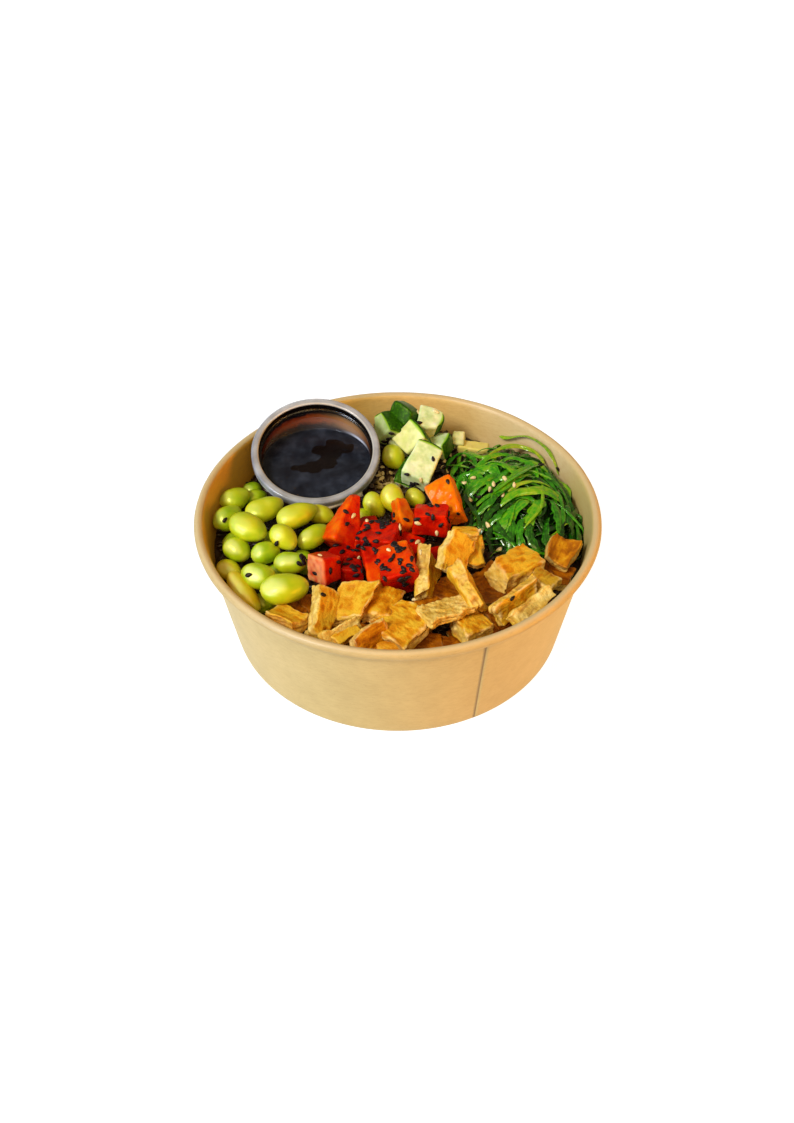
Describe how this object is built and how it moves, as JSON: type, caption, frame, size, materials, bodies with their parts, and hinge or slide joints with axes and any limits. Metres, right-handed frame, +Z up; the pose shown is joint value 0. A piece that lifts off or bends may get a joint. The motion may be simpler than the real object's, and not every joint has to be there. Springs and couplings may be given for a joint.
{
  "type": "poke bowl",
  "caption": "Round paper bowl with a rolled rim, filled with rice and topped with tofu, edamame, cucumber, red cubes and wakame, with a small lidded cup of sauce leaning on the food.",
  "frame": {"origin": "middle of the bowl's foot, on the plane it stands on", "axes": "+Z up, -Y towards the side with the tofu, +X to the right of it"},
  "size_m": [0.185, 0.185, 0.0753],
  "materials": {
    "kraft_paper": "satin coated paper",
    "clear_plastic": "clear and glossy",
    "sauce": "dark glossy liquid",
    "edamame": "moist skin",
    "cucumber": "wet cut flesh with green skin",
    "red_cube": "wet and translucent",
    "fried_tofu": "fried skin with a pale porous inside",
    "wakame": "glossy seaweed ribbons",
    "rice": "cooked grains with some sauce",
    "black_sesame": "seed",
    "white_sesame": "seed"
  },
  "bodies": {
    "root": {"bowl": "kraft_paper", "sauce_cup": "clear_plastic", "sauce_cup_lid": "clear_plastic", "sauce": "sauce", "edamame_01": "edamame", "edamame_02": "edamame", "edamame_03": "edamame", "edamame_04": "edamame", "edamame_05": "edamame", "edamame_06": "edamame", "edamame_07": "edamame", "edamame_08": "edamame", "edamame_09": "edamame", "edamame_10": "edamame", "edamame_11": "edamame", "edamame_12": "edamame", "edamame_13": "edamame", "edamame_14": "edamame", "edamame_15": "edamame", "edamame_16": "edamame", "edamame_17": "edamame", "edamame_18": "edamame", "cucumber_01": "cucumber", "cucumber_02": "cucumber", "cucumber_03": "cucumber", "cucumber_04": "cucumber", "cucumber_05": "cucumber", "cucumber_06": "cucumber", "cucumber_07": "cucumber", "cucumber_08": "cucumber", "red_cube_01": "red_cube", "red_cube_02": "red_cube", "red_cube_03": "red_cube", "red_cube_04": "red_cube", "red_cube_05": "red_cube", "red_cube_06": "red_cube", "red_cube_07": "red_cube", "red_cube_08": "red_cube", "red_cube_09": "red_cube", "tofu_01": "fried_tofu", "tofu_02": "fried_tofu", "tofu_03": "fried_tofu", "tofu_04": "fried_tofu", "tofu_05": "fried_tofu", "tofu_06": "fried_tofu", "tofu_07": "fried_tofu", "tofu_08": "fried_tofu", "tofu_09": "fried_tofu", "tofu_10": "fried_tofu", "tofu_11": "fried_tofu", "tofu_12": "fried_tofu", "tofu_13": "fried_tofu", "tofu_14": "fried_tofu", "tofu_15": "fried_tofu", "tofu_16": "fried_tofu", "tofu_17": "fried_tofu", "tofu_18": "fried_tofu", "tofu_19": "fried_tofu", "wakame_heap": "wakame", "rice_bed": "rice"}
  },
  "joints": []
}
